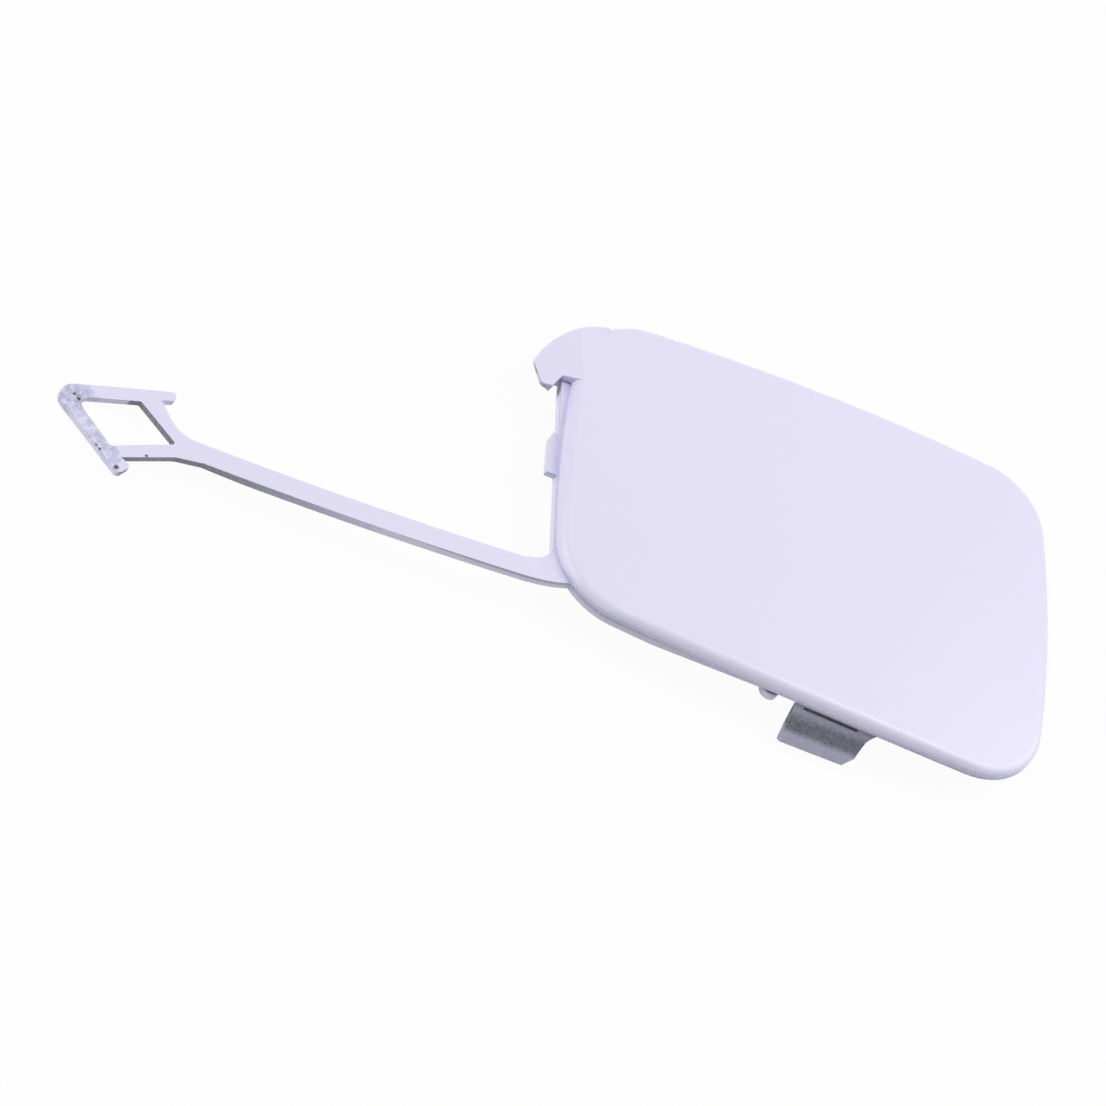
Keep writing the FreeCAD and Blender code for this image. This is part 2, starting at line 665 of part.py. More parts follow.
def droop_cut(name, radius, level, far, floor):
    """Cuts away what lies beyond an arc that starts level at the droop's start."""
    sketch = new_sketch(strap, name + "_sketch", "XZ_Plane", "0", "- half_length")
    size = amount(radius)
    high = amount(level)
    base = amount(floor)
    near_x = -SIZES["droop_start"]
    far_x = -amount(far)
    low = high + droop(radius, far)
    inner_x = SIZES["root_depth"] + SIZES["wall"]
    centre = FreeCAD.Vector(near_x, high - size, 0)
    circle = Part.Circle(centre, FreeCAD.Vector(0, 0, 1), size)
    end_angle = math.atan2(low - centre.y, far_x - centre.x)
    arc = sketch.addGeometry(Part.ArcOfCircle(circle, math.pi / 2, end_angle), False)
    spots = [(far_x, low), (far_x, base), (inner_x, base), (inner_x, high), (near_x, high)]
    lines = []
    for first, second in zip(spots[:-1], spots[1:]):
        segment = Part.LineSegment(FreeCAD.Vector(*first, 0), FreeCAD.Vector(*second, 0))
        lines.append(sketch.addGeometry(segment, False))
    sketch.addConstraint(Sketcher.Constraint("Coincident", arc, 2, lines[0], 1))
    for first, second in zip(lines[:-1], lines[1:]):
        sketch.addConstraint(Sketcher.Constraint("Coincident", first, 2, second, 1))
    sketch.addConstraint(Sketcher.Constraint("Tangent", lines[-1], 2, arc, 1))
    sketch.addConstraint(Sketcher.Constraint("Vertical", lines[0]))
    sketch.addConstraint(Sketcher.Constraint("Horizontal", lines[1]))
    sketch.addConstraint(Sketcher.Constraint("Vertical", lines[2]))
    sketch.addConstraint(Sketcher.Constraint("Horizontal", lines[3]))
    bind(sketch, "Radius", (arc,), radius)
    bind(sketch, "DistanceX", (-1, 1, arc, 1), "- droop_start")
    if abs(high) > 1e-9:
        bind(sketch, "DistanceY", (-1, 1, lines[3], 1), level)
    else:
        sketch.addConstraint(Sketcher.Constraint("PointOnObject", lines[3], 1, -1))
    bind(sketch, "DistanceX", (-1, 1, lines[0], 1), "- " + far)
    bind(sketch, "DistanceY", (-1, 1, lines[1], 1), floor)
    bind(sketch, "DistanceX", (-1, 1, lines[2], 1), "root_depth + wall")
    doc.recompute()
    return cut(strap, sketch, name)


droop_cut("Droop_top", "droop_radius", "strap_top", "droop_reach", "2*blank_height")
droop_cut("Droop_under", "droop_radius - strap_thick", "strap_top - strap_thick", "droop_reach",
          "- 2*blank_depth")
thin_sketch = new_sketch(strap, "Thin_sketch", "XZ_Plane", "0", "- half_length")
thin_radius = SIZES["droop_radius"] - SIZES["anchor_thick"]
thin_centre = FreeCAD.Vector(-SIZES["droop_start"], SIZES["strap_top"] - SIZES["droop_radius"], 0)
thin_circle = Part.Circle(thin_centre, FreeCAD.Vector(0, 0, 1), thin_radius)
thin_points = []
for thin_x in (SIZES["taper_start"], SIZES["droop_reach"]):
    thin_run = thin_x - SIZES["droop_start"]
    thin_points.append(FreeCAD.Vector(-thin_x, thin_centre.y + math.sqrt(thin_radius ** 2 - thin_run ** 2), 0))
thick_run = SIZES["taper_end"] - SIZES["droop_start"]
thick_radius = SIZES["droop_radius"] - SIZES["strap_thick"]
thick_z = thin_centre.y + math.sqrt(thick_radius ** 2 - thick_run ** 2)
thin_angles = [math.atan2(spot.y - thin_centre.y, spot.x - thin_centre.x) for spot in thin_points]
thin_arc = thin_sketch.addGeometry(Part.ArcOfCircle(thin_circle, thin_angles[0], thin_angles[1]), False)
thin_spots = [
    thin_points[1],
    FreeCAD.Vector(-SIZES["droop_reach"], -2 * SIZES["blank_depth"], 0),
    FreeCAD.Vector(-SIZES["taper_end"], -2 * SIZES["blank_depth"], 0),
    FreeCAD.Vector(-SIZES["taper_end"], thick_z, 0),
    thin_points[0],
]
thin_lines = []
for first, second in zip(thin_spots[:-1], thin_spots[1:]):
    thin_lines.append(thin_sketch.addGeometry(Part.LineSegment(first, second), False))
thin_sketch.addConstraint(Sketcher.Constraint("Coincident", thin_arc, 2, thin_lines[0], 1))
for first, second in zip(thin_lines[:-1], thin_lines[1:]):
    thin_sketch.addConstraint(Sketcher.Constraint("Coincident", first, 2, second, 1))
thin_sketch.addConstraint(Sketcher.Constraint("Coincident", thin_lines[-1], 2, thin_arc, 1))
thin_sketch.addConstraint(Sketcher.Constraint("Vertical", thin_lines[0]))
thin_sketch.addConstraint(Sketcher.Constraint("Horizontal", thin_lines[1]))
thin_sketch.addConstraint(Sketcher.Constraint("Vertical", thin_lines[2]))
bind(thin_sketch, "Radius", (thin_arc,), "droop_radius - anchor_thick")
bind(thin_sketch, "DistanceX", (-1, 1, thin_arc, 3), "- droop_start")
bind(thin_sketch, "DistanceY", (-1, 1, thin_arc, 3), "strap_top - droop_radius")
bind(thin_sketch, "DistanceX", (-1, 1, thin_arc, 1), "- taper_start")
bind(thin_sketch, "DistanceX", (-1, 1, thin_arc, 2), "- droop_reach")
bind(thin_sketch, "DistanceX", (-1, 1, thin_lines[1], 2), "- taper_end")
bind(thin_sketch, "DistanceY", (-1, 1, thin_lines[1], 1), "- 2*blank_depth")
thick_key = thin_sketch.addConstraint(Sketcher.Constraint("DistanceY", -1, 1, thin_lines[2], 2, thick_z))
thin_sketch.setExpression(
    "Constraints[" + str(thick_key) + "]",
    "Sheet.strap_top - Sheet.droop_radius + sqrt((Sheet.droop_radius - Sheet.strap_thick) ^ 2"
    " - (Sheet.taper_end - Sheet.droop_start) ^ 2)",
)
doc.recompute()
cut(strap, thin_sketch, "Anchor_thinned")

# Hook-in tongue: a bent plate that leans out below the lower edge, drawn in its section,
# trimmed to its front view and pierced by a long slot at its root.
tongue = new_body("Tongue")
tongue_sketch = new_sketch(tongue, "Tongue_section", "YZ_Plane", "tongue_start", "- half_height")
loop(tongue_sketch, [
    ("tongue_root_in", "tongue_root_z"),
    ("- tongue_bend_out", "- tongue_bend_z"),
    ("- tongue_tip_out", "- tongue_tip_z"),
    ("- tongue_back_out", "- tongue_back_z"),
    ("tongue_knee_in", "- tongue_knee_z"),
    ("tongue_heel_in", "tongue_root_z"),
])
doc.recompute()
pad(tongue, tongue_sketch, "Tongue_plate", "tongue_span")
trim_sketch = new_sketch(tongue, "Tongue_front", "XZ_Plane")
loop(trim_sketch, [
    ("tongue_tip_x", "- 2*tongue_back_z"),
    ("tongue_tip_x", "- tongue_tip_z"),
    ("tongue_side_x", "- tongue_side_z"),
    ("tongue_neck_x", "- tongue_neck_z", "", "- tongue_flare"),
    ("tongue_flare_x", "tongue_flare_z"),
    ("tongue_span + tongue_flare", "tongue_flare_z"),
    ("tongue_span + tongue_flare", "- 2*tongue_back_z"),
])
doc.recompute()
cut(tongue, trim_sketch, "Tongue_trimmed")
slot_sketch = new_sketch(tongue, "Slot_outline", "XZ_Plane")
loop(slot_sketch, [
    ("slot_start", "slot_low + slot_rise"),
    ("slot_end", "slot_low"),
    ("slot_end", "slot_high"),
    ("slot_start", "slot_high + slot_rise"),
])
doc.recompute()
cut(tongue, slot_sketch, "Slot")

# Hidden side: one long rib and two cross ribs under the plate.
ribs = new_body("Ribs")
long_sketch = new_sketch(ribs, "Long_rib_outline", "XY_Plane", "rib_low")
loop(long_sketch, [
    ("- half_length + rib_end_in", "- 0.5*rib_thick"),
    ("half_length - rib_end_in", "- 0.5*rib_thick"),
    ("half_length - rib_end_in", "0.5*rib_thick"),
    ("- half_length + rib_end_in", "0.5*rib_thick"),
])
doc.recompute()
pad(ribs, long_sketch, "Long_rib", "rib_top - rib_low")
cross_sketch = new_sketch(ribs, "Cross_rib_outline", "XY_Plane", "rib_low")
loop(cross_sketch, [
    ("rib_spread - 0.5*rib_thick", "- half_height + rib_end_down"),
    ("rib_spread + 0.5*rib_thick", "- half_height + rib_end_down"),
    ("rib_spread + 0.5*rib_thick", "half_height - rib_end_down"),
    ("rib_spread - 0.5*rib_thick", "half_height - rib_end_down"),
])
doc.recompute()
cross = pad(ribs, cross_sketch, "Cross_rib", "rib_top - rib_low")
mirror = ribs.newObject("PartDesign::Mirrored", "Cross_ribs")
mirror.Originals = [cross]
mirror.MirrorPlane = (cross_sketch, ["V_Axis"])
ribs.Tip = mirror
doc.recompute()

# Snap legs: two behind the upper edge and one behind the right side, each with a hook.
legs = new_body("TopLegs")
leg_sketch = new_sketch(legs, "Top_leg_section", "YZ_Plane", "top_leg_spread")
loop(leg_sketch, [
    ("half_height - top_leg_down", "rib_top"),
    ("half_height - top_leg_down", "- leg_foot"),
    ("half_height - top_leg_down + leg_thick", "- leg_foot"),
    ("half_height - top_leg_down + leg_thick + leg_hook", "- hook_low"),
    ("half_height - top_leg_down + leg_thick", "- hook_high"),
    ("half_height - top_leg_down + leg_thick", "rib_top"),
])
doc.recompute()
pad(legs, leg_sketch, "Top_leg", "leg_width", True)
side_leg = new_body("SideLeg")
side_leg_sketch = new_sketch(side_leg, "Side_leg_section", "XZ_Plane", "side_leg_y")
loop(side_leg_sketch, [
    ("half_length - side_leg_in", "rib_top"),
    ("half_length - side_leg_in", "- leg_foot"),
    ("half_length - side_leg_in + leg_thick", "- leg_foot"),
    ("half_length - side_leg_in + leg_thick + leg_hook", "- hook_low"),
    ("half_length - side_leg_in + leg_thick", "- hook_high"),
    ("half_length - side_leg_in + leg_thick", "rib_top"),
])
doc.recompute()
pad(side_leg, side_leg_sketch, "Side_leg", "leg_width", True)
left_leg = doc.addObject("Part::Mirroring", "LeftTopLeg")
left_leg.Source = legs
left_leg.Base = FreeCAD.Vector(0, 0, 0)
left_leg.Normal = FreeCAD.Vector(1, 0, 0)
doc.recompute()

# The whole moulding as one solid.
cover = doc.addObject("Part::MultiFuse", "Cover")
cover.Shapes = [panel, flange, near, lug, finger, tab, strap, tongue, ribs, legs, left_leg, side_leg]
cover.Refine = True
cover.Label = "tow_eye_cover"
doc.recompute()

for item in doc.Objects:
    if "Invalid" in item.State or "Error" in item.State:
        raise RuntimeError(item.Name + " did not build")
solid = cover.Shape
print("faces", len(solid.Faces), "valid", solid.isValid())
if solid.isNull() or not solid.isValid() or len(solid.Solids) != 1:
    raise RuntimeError("the cover is not one valid solid")

os.makedirs("parts", exist_ok=True)
solid.exportStep(os.path.join("parts", cover.Label + ".step"))
box = solid.BoundBox
print("size", round(box.XLength, 2), round(box.YLength, 2), round(box.ZLength, 2))
print("volume", round(solid.Volume, 1))
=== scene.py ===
# %% [markdown]
# # A painted towing-eye cover
# This cover is one moulding of dark plastic with a gloss coat of pale paint sprayed on from the
# front. The solid comes from the construction model in metres, already in its place, so this
# lesson adds what the solid lacks: the paint and how it thins out, the light, the floor and the
# camera.

# %% Load the construction model
import bpy
from mathutils import Matrix, Vector


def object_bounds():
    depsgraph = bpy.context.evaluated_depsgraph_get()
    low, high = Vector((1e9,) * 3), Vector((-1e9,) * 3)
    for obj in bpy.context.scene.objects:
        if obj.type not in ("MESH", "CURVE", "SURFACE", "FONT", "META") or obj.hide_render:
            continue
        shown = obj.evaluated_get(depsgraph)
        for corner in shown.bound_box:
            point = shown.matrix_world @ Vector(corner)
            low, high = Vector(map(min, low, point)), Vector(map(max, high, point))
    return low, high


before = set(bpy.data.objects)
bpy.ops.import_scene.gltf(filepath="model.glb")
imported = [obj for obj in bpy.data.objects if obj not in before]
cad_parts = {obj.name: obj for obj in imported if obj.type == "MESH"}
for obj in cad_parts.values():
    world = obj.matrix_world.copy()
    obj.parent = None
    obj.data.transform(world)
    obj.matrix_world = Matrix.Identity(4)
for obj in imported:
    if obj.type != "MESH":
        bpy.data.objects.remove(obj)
cad_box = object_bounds()
cover = bpy.data.objects["tow_eye_cover"]
print("cover faces:", len(cover.data.polygons))

# %% [markdown]
# ## Paint that thins out
# The gun sprays the cover from the front. Faces that look at the gun get a closed glossy film.
# Faces that look sideways get less, and the underside stays bare. What the panel hides from the
# gun, such as the tongue below its rim, gets only a mist, and the arrow on the strap has lost
# paint by handling.
#
# Paint could be brushed onto the mesh as an image, but an image blurs close up and needs a map of
# the surface. Here all of it is one value, the film's thickness, worked out by nodes from where a
# point lies and how its face is turned, so every surface follows the same rule. A few corners at
# the rim, the lug and the finger are also darkened in this value, as painted shade.
#
# A shader is a tree of small nodes. A few helpers make the kinds that come back: products, the
# larger of two values, smooth steps, and masks near a point or a line. Places are written in
# millimetres and turned into Blender's metres by MM.

# %% Plain nodes
MM = 0.001


def add_node(tree, kind, **settings):
    node = tree.nodes.new(kind)
    for name, value in settings.items():
        setattr(node, name, value)
    return node


def feed(tree, socket, value):
    """Links a socket into another, or sets a plain number or vector on it."""
    if isinstance(value, bpy.types.NodeSocket):
        tree.links.new(value, socket)
    else:
        socket.default_value = value


def math_node(tree, operation, first, second, clamp=False):
    node = add_node(tree, "ShaderNodeMath", operation=operation, use_clamp=clamp)
    feed(tree, node.inputs[0], first)
    feed(tree, node.inputs[1], second)
    return node.outputs[0]


def product(tree, first, *others):
    for other in others:
        first = math_node(tree, "MULTIPLY", first, other)
    return first


def largest(tree, first, *others):
    for other in others:
        first = math_node(tree, "MAXIMUM", first, other)
    return first


def blend(tree, share, first, second):
    """The first value where share is 0, the second where it is 1."""
    node = add_node(tree, "ShaderNodeMix", data_type="FLOAT")
    feed(tree, node.inputs[0], share)
    feed(tree, node.inputs[2], first)
    feed(tree, node.inputs[3], second)
    return node.outputs[0]


def vector_node(tree, operation, first, second):
    """Vector difference, dot product, distance or scaling, which takes a number as its second."""
    node = add_node(tree, "ShaderNodeVectorMath", operation=operation)
    feed(tree, node.inputs[0], first)
    feed(tree, node.inputs["Scale" if operation == "SCALE" else 1], second)
    return node.outputs["Value" if operation in ("DOT_PRODUCT", "DISTANCE") else "Vector"]


def coordinates(tree, position):
    """A position's x, y and z as three sockets."""
    node = add_node(tree, "ShaderNodeSeparateXYZ")
    feed(tree, node.inputs[0], position)
    return tuple(node.outputs)


print("plain node helpers ready")


# %% Steps, noise and masks
NOISE_ROUGHNESS = 0.6


def smooth_step(tree, value, low, high, low_out=0.0, high_out=1.0):
    """Goes smoothly from low_out to high_out as the value goes from low to high."""
    node = add_node(tree, "ShaderNodeMapRange", interpolation_type="SMOOTHSTEP")
    feed(tree, node.inputs["Value"], value)
    feed(tree, node.inputs["From Min"], low)
    feed(tree, node.inputs["From Max"], high)
    feed(tree, node.inputs["To Min"], low_out)
    feed(tree, node.inputs["To Max"], high_out)
    return node.outputs[0]


def noise(tree, position, scale, detail=3.0):
    """Noise about zero, from -0.5 to 0.5."""
    node = add_node(tree, "ShaderNodeTexNoise")
    node.inputs["Scale"].default_value = scale
    node.inputs["Detail"].default_value = detail
    node.inputs["Roughness"].default_value = NOISE_ROUGHNESS
    feed(tree, node.inputs["Vector"], position)
    return math_node(tree, "SUBTRACT", node.outputs["Fac"], 0.5)


def metres(point):
    return tuple(MM * value for value in point)


def near_point(tree, position, point, reach):
    """1 at a point, fading to 0 at reach from it."""
    distance = vector_node(tree, "DISTANCE", position, metres(point))
    return smooth_step(tree, distance, 0.0, reach * MM, 1.0, 0.0)


def near_line(tree, position, start, end, reach):
    """1 on the line from start to end, fading to 0 at reach from it."""
    along = Vector(metres(end)) - Vector(metres(start))
    offset = vector_node(tree, "SUBTRACT", position, metres(start))
    share = vector_node(tree, "DOT_PRODUCT", offset, tuple(along / along.length_squared))
    share = math_node(tree, "MAXIMUM", share, 0.0)
    share = math_node(tree, "MINIMUM", share, 1.0)
    foot = vector_node(tree, "SCALE", tuple(along), share)
    distance = vector_node(tree, "DISTANCE", offset, foot)
    return smooth_step(tree, distance, 0.0, reach * MM, 1.0, 0.0)


def within(tree, value, low, high, soft):
    """1 where a length lies between low and high, with soft ends."""
    rise = smooth_step(tree, value, (low - soft) * MM, (low + soft) * MM)
    fall = smooth_step(tree, value, (high - soft) * MM, (high + soft) * MM, 1.0, 0.0)
    return product(tree, rise, fall)


print("mask helpers ready")

# %% [markdown]
# ## Groups and their layout
# An effect is kept in a node group with named sockets, so that it can be placed in a material as
# one node. Each node could be given a place by hand. It is quicker to let a short loop push every
# node one column to the right of the nodes that feed it, which also keeps the tree readable in
# the editor.

# %% Group helpers
COLUMN_WIDTH = 200
ROW_HEIGHT = 220


def new_group(name, inputs, outputs):
    """An empty group, with its sockets given as pairs of a name and a kind."""
    group = bpy.data.node_groups.new(name, "ShaderNodeTree")
    for socket, kind in inputs:
        group.interface.new_socket(socket, in_out="INPUT", socket_type="NodeSocket" + kind)
    for socket, kind in outputs:
        group.interface.new_socket(socket, in_out="OUTPUT", socket_type="NodeSocket" + kind)
    return group


def place_group(tree, group, **values):
    """Places a group in a tree as one node and feeds its inputs."""
    node = add_node(tree, "ShaderNodeGroup", node_tree=group)
    for name, value in values.items():
        feed(tree, node.inputs[name], value)
    return node


def lay_out(tree):
    """Sets every node one column to the right of the nodes that feed it."""
    column = {node.name: 0 for node in tree.nodes}
    for _ in tree.nodes:
        for link in tree.links:
            right_of_source = column[link.from_node.name] + 1
            column[link.to_node.name] = max(column[link.to_node.name], right_of_source)
    rows_used = {}
    for node in tree.nodes:
        row = rows_used.get(column[node.name], 0)
        node.location = (COLUMN_WIDTH * column[node.name], -ROW_HEIGHT * row)
        rows_used[column[node.name]] = row + 1


print("group helpers ready")

# %% [markdown]
# ## Mist on the tongue
# The hook-in tongue stands behind the rim, which shades it from the gun. Its root has a grey
# mist, the steep part below the slot is nearly bare, and its end, which leans out of the rim's
# shade, has caught more. The spray's own shadow could be worked out by tracing rays, but three
# smooth steps over the height give the same bands with less. The group puts out how much film is
# missing.

# %% Tongue mist group
TONGUE_SPAN = (-0.4, 22.0)
TONGUE_SIDE_SOFT = 0.3
TONGUE_START = -28.4
START_SOFT = 0.5
RIM_MIST = 3.1
MIST_FULL = 1.1
SLOT_LEVEL = 0.6
BAREST_LEVEL = -0.7
ROOT_LOSS = 0.48
BAREST_LOSS = 0.8
BEND_LEVEL = -1.85
BEND_SOFT = 0.9
END_GAIN = 0.38


def make_tongue_group():
    group = new_group("TongueMist", [("Position", "Vector")], [("Missing", "Float")])
    enter = add_node(group, "NodeGroupInput")
    leave = add_node(group, "NodeGroupOutput")
    x, y, z = coordinates(group, enter.outputs["Position"])
    span = within(group, x, *TONGUE_SPAN, TONGUE_SIDE_SOFT)
    outward = smooth_step(group, y, TONGUE_START * MM, (TONGUE_START - START_SOFT) * MM)
    below = smooth_step(group, z, RIM_MIST * MM, MIST_FULL * MM)
    deeper = smooth_step(group, z, SLOT_LEVEL * MM, BAREST_LEVEL * MM, ROOT_LOSS, BAREST_LOSS)
    lighter = smooth_step(group, z, BEND_LEVEL * MM, (BEND_LEVEL - BEND_SOFT) * MM, 0.0, END_GAIN)
    depth = math_node(group, "SUBTRACT", deeper, lighter)
    feed(group, leave.inputs["Missing"], product(group, span, outward, below, depth))
    lay_out(group)
    return group


tongue_group = make_tongue_group()
print("tongue mist from", RIM_MIST, "mm down")

# %% [markdown]
# ## Worn arrow
# The push-in arrow at the strap's end is mottled on its point and its left arm, where fingers and
# the bumper's hole have rubbed it. The walls of its eye and of the strap's lower edge hardly
# caught paint, but more towards the panel. A few chips go through to the plastic. A noise alone
# would wear every place alike, so the wear is tied to places: near a point, near a line, and
# within a small reach of each chip.

# %% Rubbed point and thin walls
APEX = (-116.2, -19.8, -4.0)
APEX_REACH = 5.2
ARM_END = (-109.5, -29.0, -3.0)
ARM_REACH = 2.6
ARM_SHARE = 0.7
PATCH_SCALE = 900.0
PATCH_DETAIL = 2.0
PATCH_DEPTH = 1.3
RUBBED_LOSS = 0.3
WALL_FADE = (-101.0, -60.0)
WALL_LOSS = 0.66
WALL_LEFT = -108.4
WALL_LEFT_SOFT = 0.4
WALL_TOP = -17.0
WALL_TOP_SOFT = 0.5


def rubbed_film(group, position):
    """Patchy loss round the arrow's point and along its left arm."""
    point = near_point(group, position, APEX, APEX_REACH)
    arm = near_line(group, position, APEX, ARM_END, ARM_REACH)
    rubbed = largest(group, point, product(group, arm, ARM_SHARE))
    patches = product(group, noise(group, position, PATCH_SCALE, PATCH_DETAIL), PATCH_DEPTH)
    return product(group, rubbed, math_node(group, "ADD", patches, RUBBED_LOSS))


def thin_walls(group, position, upright):
    """Loss on upright walls of the eye and the strap, less and less towards the panel."""
    x, y = coordinates(group, position)[:2]
    fade = smooth_step(group, x, WALL_FADE[0] * MM, WALL_FADE[1] * MM, WALL_LOSS, 0.0)
    inside = smooth_step(group, x, WALL_LEFT * MM, (WALL_LEFT + WALL_LEFT_SOFT) * MM)
    lower = smooth_step(group, y, WALL_TOP * MM, (WALL_TOP - WALL_TOP_SOFT) * MM)
    return product(group, fade, inside, lower, upright)


print("wall paint thins from", WALL_FADE[1], "to", WALL_FADE[0], "mm")

# %% Worn arrow group
CHIP_LOSS = 1.25
CHIPS = (
    ((-116.25, -19.6, -4.0), 0.5),
    ((-115.5, -20.3, -3.9), 0.6),
    ((-114.75, -20.4, -3.8), 0.45),
    ((-113.4, -26.75, -3.6), 0.55),
    ((-112.2, -27.8, -3.4), 0.5),
    ((-111.6, -28.4, -3.3), 0.5),
    ((-108.8, -30.8, -2.9), 0.65),
    ((-104.7, -27.2, -2.4), 0.4),
)


def make_arrow_group():
    inputs = [("Position", "Vector"), ("Upright", "Float")]
    group = new_group("WornArrow", inputs, [("Missing", "Float")])
    enter = add_node(group, "NodeGroupInput")
    leave = add_node(group, "NodeGroupOutput")
    position = enter.outputs["Position"]
    walls = thin_walls(group, position, enter.outputs["Upright"])
    missing = largest(group, rubbed_film(group, position), walls)
    for centre, reach in CHIPS:
        chip = product(group, near_point(group, position, centre, reach), CHIP_LOSS)
        missing = largest(group, missing, chip)
    feed(group, leave.inputs["Missing"], missing)
    lay_out(group)
    return group


arrow_group = make_arrow_group()
print("chips on the arrow:", len(CHIPS))

# %% [markdown]
# ## The film's thickness
# Thickness starts from how far a face looks towards the gun, which is the dot product of its
# normal and the gun's direction. The step under the rim, the roll above it and the lug's corner
# are then darkened as painted shade: film is taken away where shade falls there. The finger's
# lower edge gets thinner paint and painted shade together. Ambient occlusion could find such
# corners by itself, but it would darken every corner alike, so they are named.

# %% Painted shade at the rim
# How much film the painted shade in the rim's step and on its roll takes away.
STEP_LOW = 1.1
STEP_HIGH = 1.9
STEP_SOFT = 0.15
STEP_PAINTED_SHADE = (0.16, 0.36)
ROLL_TOP = 3.3
ROLL_SOFT = 0.3
ROLL_PAINTED_SHADE = 0.16


def rim_shadows(group, height, upright, lower_side):
    """Painted shade: film taken away in the step under the rim and on the roll above it, most on the
    tongue's side.
    """
    step = within(group, height, STEP_LOW, STEP_HIGH, STEP_SOFT)
    amount = smooth_step(group, lower_side, 0.0, 1.0, *STEP_PAINTED_SHADE)
    roll = smooth_step(group, height, STEP_HIGH * MM, ROLL_TOP * MM, ROLL_PAINTED_SHADE, 0.0)
    above = smooth_step(group, height, (STEP_HIGH - ROLL_SOFT) * MM, STEP_HIGH * MM)
    return product(group, step, amount, upright), product(group, roll, above, lower_side)


print("the rim's step lies between", STEP_LOW, "and", STEP_HIGH, "mm")

# %% [markdown]
# Fine noise is added last, because it breaks only a thin film into droplets. A face turned to the
# gun carries more film than it needs, so a slight noise leaves it closed. Where anything is
# missing the film starts again from one closed layer, or the spare thickness would fill the gap.

# %% Spray cover group
TOWARDS_GUN = (0.0, 0.0, 1.0)
TOWARDS_TONGUE = (0.0, -1.0, 0.0)
FILM_FACING = (-0.55, 0.15)
FILM_MOST = 1.6
UPRIGHT_FACING = (0.75, 0.35)
LOWER_SIDE_FACING = (0.15, 0.8)
# The lug's corner gets painted shade for the dark gap beside it.
LUG_CORNER = (-5.7, -29.9, 1.3)
LUG_REACH = 0.6
# The finger's lower edge has thinner paint and also painted shade from the groove under the rim.
FINGER_EDGE = ((-46.6, 14.0, 0.9), (-43.2, 12.2, 0.6))
FINGER_REACH = 1.6
MISSING_SOFT = 0.1
DROPLET_SCALE = 2600.0
DROPLET_DEPTH = 0.6


def lessened(group, film, missing):
    """The film less what is missing, counted from one closed layer where anything is."""
    closed_less = math_node(group, "SUBTRACT", 1.0, missing)
    thin_film = math_node(group, "MINIMUM", film, closed_less)
    full_film = math_node(group, "SUBTRACT", film, missing)
    share = smooth_step(group, missing, 0.0, MISSING_SOFT)
    return blend(group, share, full_film, thin_film)


def make_spray_group():
    group = new_group("SprayCoverAndShade", [], [("Cover", "Float"), ("Grain", "Float")])
    leave = add_node(group, "NodeGroupOutput")
    normal = add_node(group, "ShaderNodeNewGeometry").outputs["Normal"]
    position = add_node(group, "ShaderNodeTexCoord").outputs["Object"]
    height = coordinates(group, position)[2]
    facing = vector_node(group, "DOT_PRODUCT", normal, TOWARDS_GUN)
    film = smooth_step(group, facing, *FILM_FACING, 0.0, FILM_MOST)
    upright = smooth_step(group, facing, *UPRIGHT_FACING)
    sideways = vector_node(group, "DOT_PRODUCT", normal, TOWARDS_TONGUE)
    lower_side = smooth_step(group, sideways, *LOWER_SIDE_FACING)
    mist = place_group(group, tongue_group, Position=position)
    worn = place_group(group, arrow_group, Position=position, Upright=upright)
    # Painted shade: the step under the rim and the roll above it are darkened towards bare plastic,
    # for the shade that falls there.
    step, roll = rim_shadows(group, height, upright, lower_side)
    # Painted shade: a dark spot in the gap at the lug's corner.
    lug_painted_shade = near_point(group, position, LUG_CORNER, LUG_REACH)
    # The finger's lower edge: partly thinner paint, partly painted shade.
    finger_thin_paint_and_shade = near_line(group, position, *FINGER_EDGE, FINGER_REACH)
    finger_thin_paint_and_shade = product(group, finger_thin_paint_and_shade, upright)
    # Film missing from mist and wear, together with the painted shade at the rim, the lug and the
    # finger.
    missing = largest(group, mist.outputs["Missing"], worn.outputs["Missing"], step, roll, lug_painted_shade, finger_thin_paint_and_shade)
    droplets = noise(group, position, DROPLET_SCALE)
    grain = product(group, droplets, DROPLET_DEPTH)
    # The cover carries the real film and the painted shade alike.
    cover_and_painted_shade = math_node(group, "ADD", lessened(group, film, missing), grain, clamp=True)
    feed(group, leave.inputs["Cover"], cover_and_painted_shade)
    feed(group, leave.inputs["Grain"], droplets)
    lay_out(group)
    return group


spray_group = make_spray_group()
print("spray group sockets:", [item.name for item in spray_group.interface.items_tree])

# %% [markdown]
# ## The painted plastic
# Under the film is dark grained plastic. Where the film is thin, the plastic shows through it as
# a bluish grey. The closed film is glossy and has a faint orange peel, and the bare plastic is
# dull and grained. Two shaders could be mixed for this, but one shader whose colour, roughness
# and bump follow the film's thickness is simpler and bakes cleanly. Its clear gloss is the same
# all over, so it is set on the shader's own sockets.

# %% Painted plastic material
BARE = (0.03, 0.03, 0.04, 1.0)
THIN = (0.4, 0.4, 0.52, 1.0)
THIN_AT = 0.55
MISTED = (0.62, 0.6, 0.82, 1.0)
MISTED_AT = 0.85
PAINT = (0.765, 0.74, 0.925, 1.0)
GLOSS_FROM = 0.3
BARE_ROUGHNESS = 0.6
PAINT_ROUGHNESS = 0.3
PEEL_SCALE = 700.0
PEEL_DETAIL = 1.0
PEEL_DEPTH = 0.25
GRAIN_DEPTH = 0.8


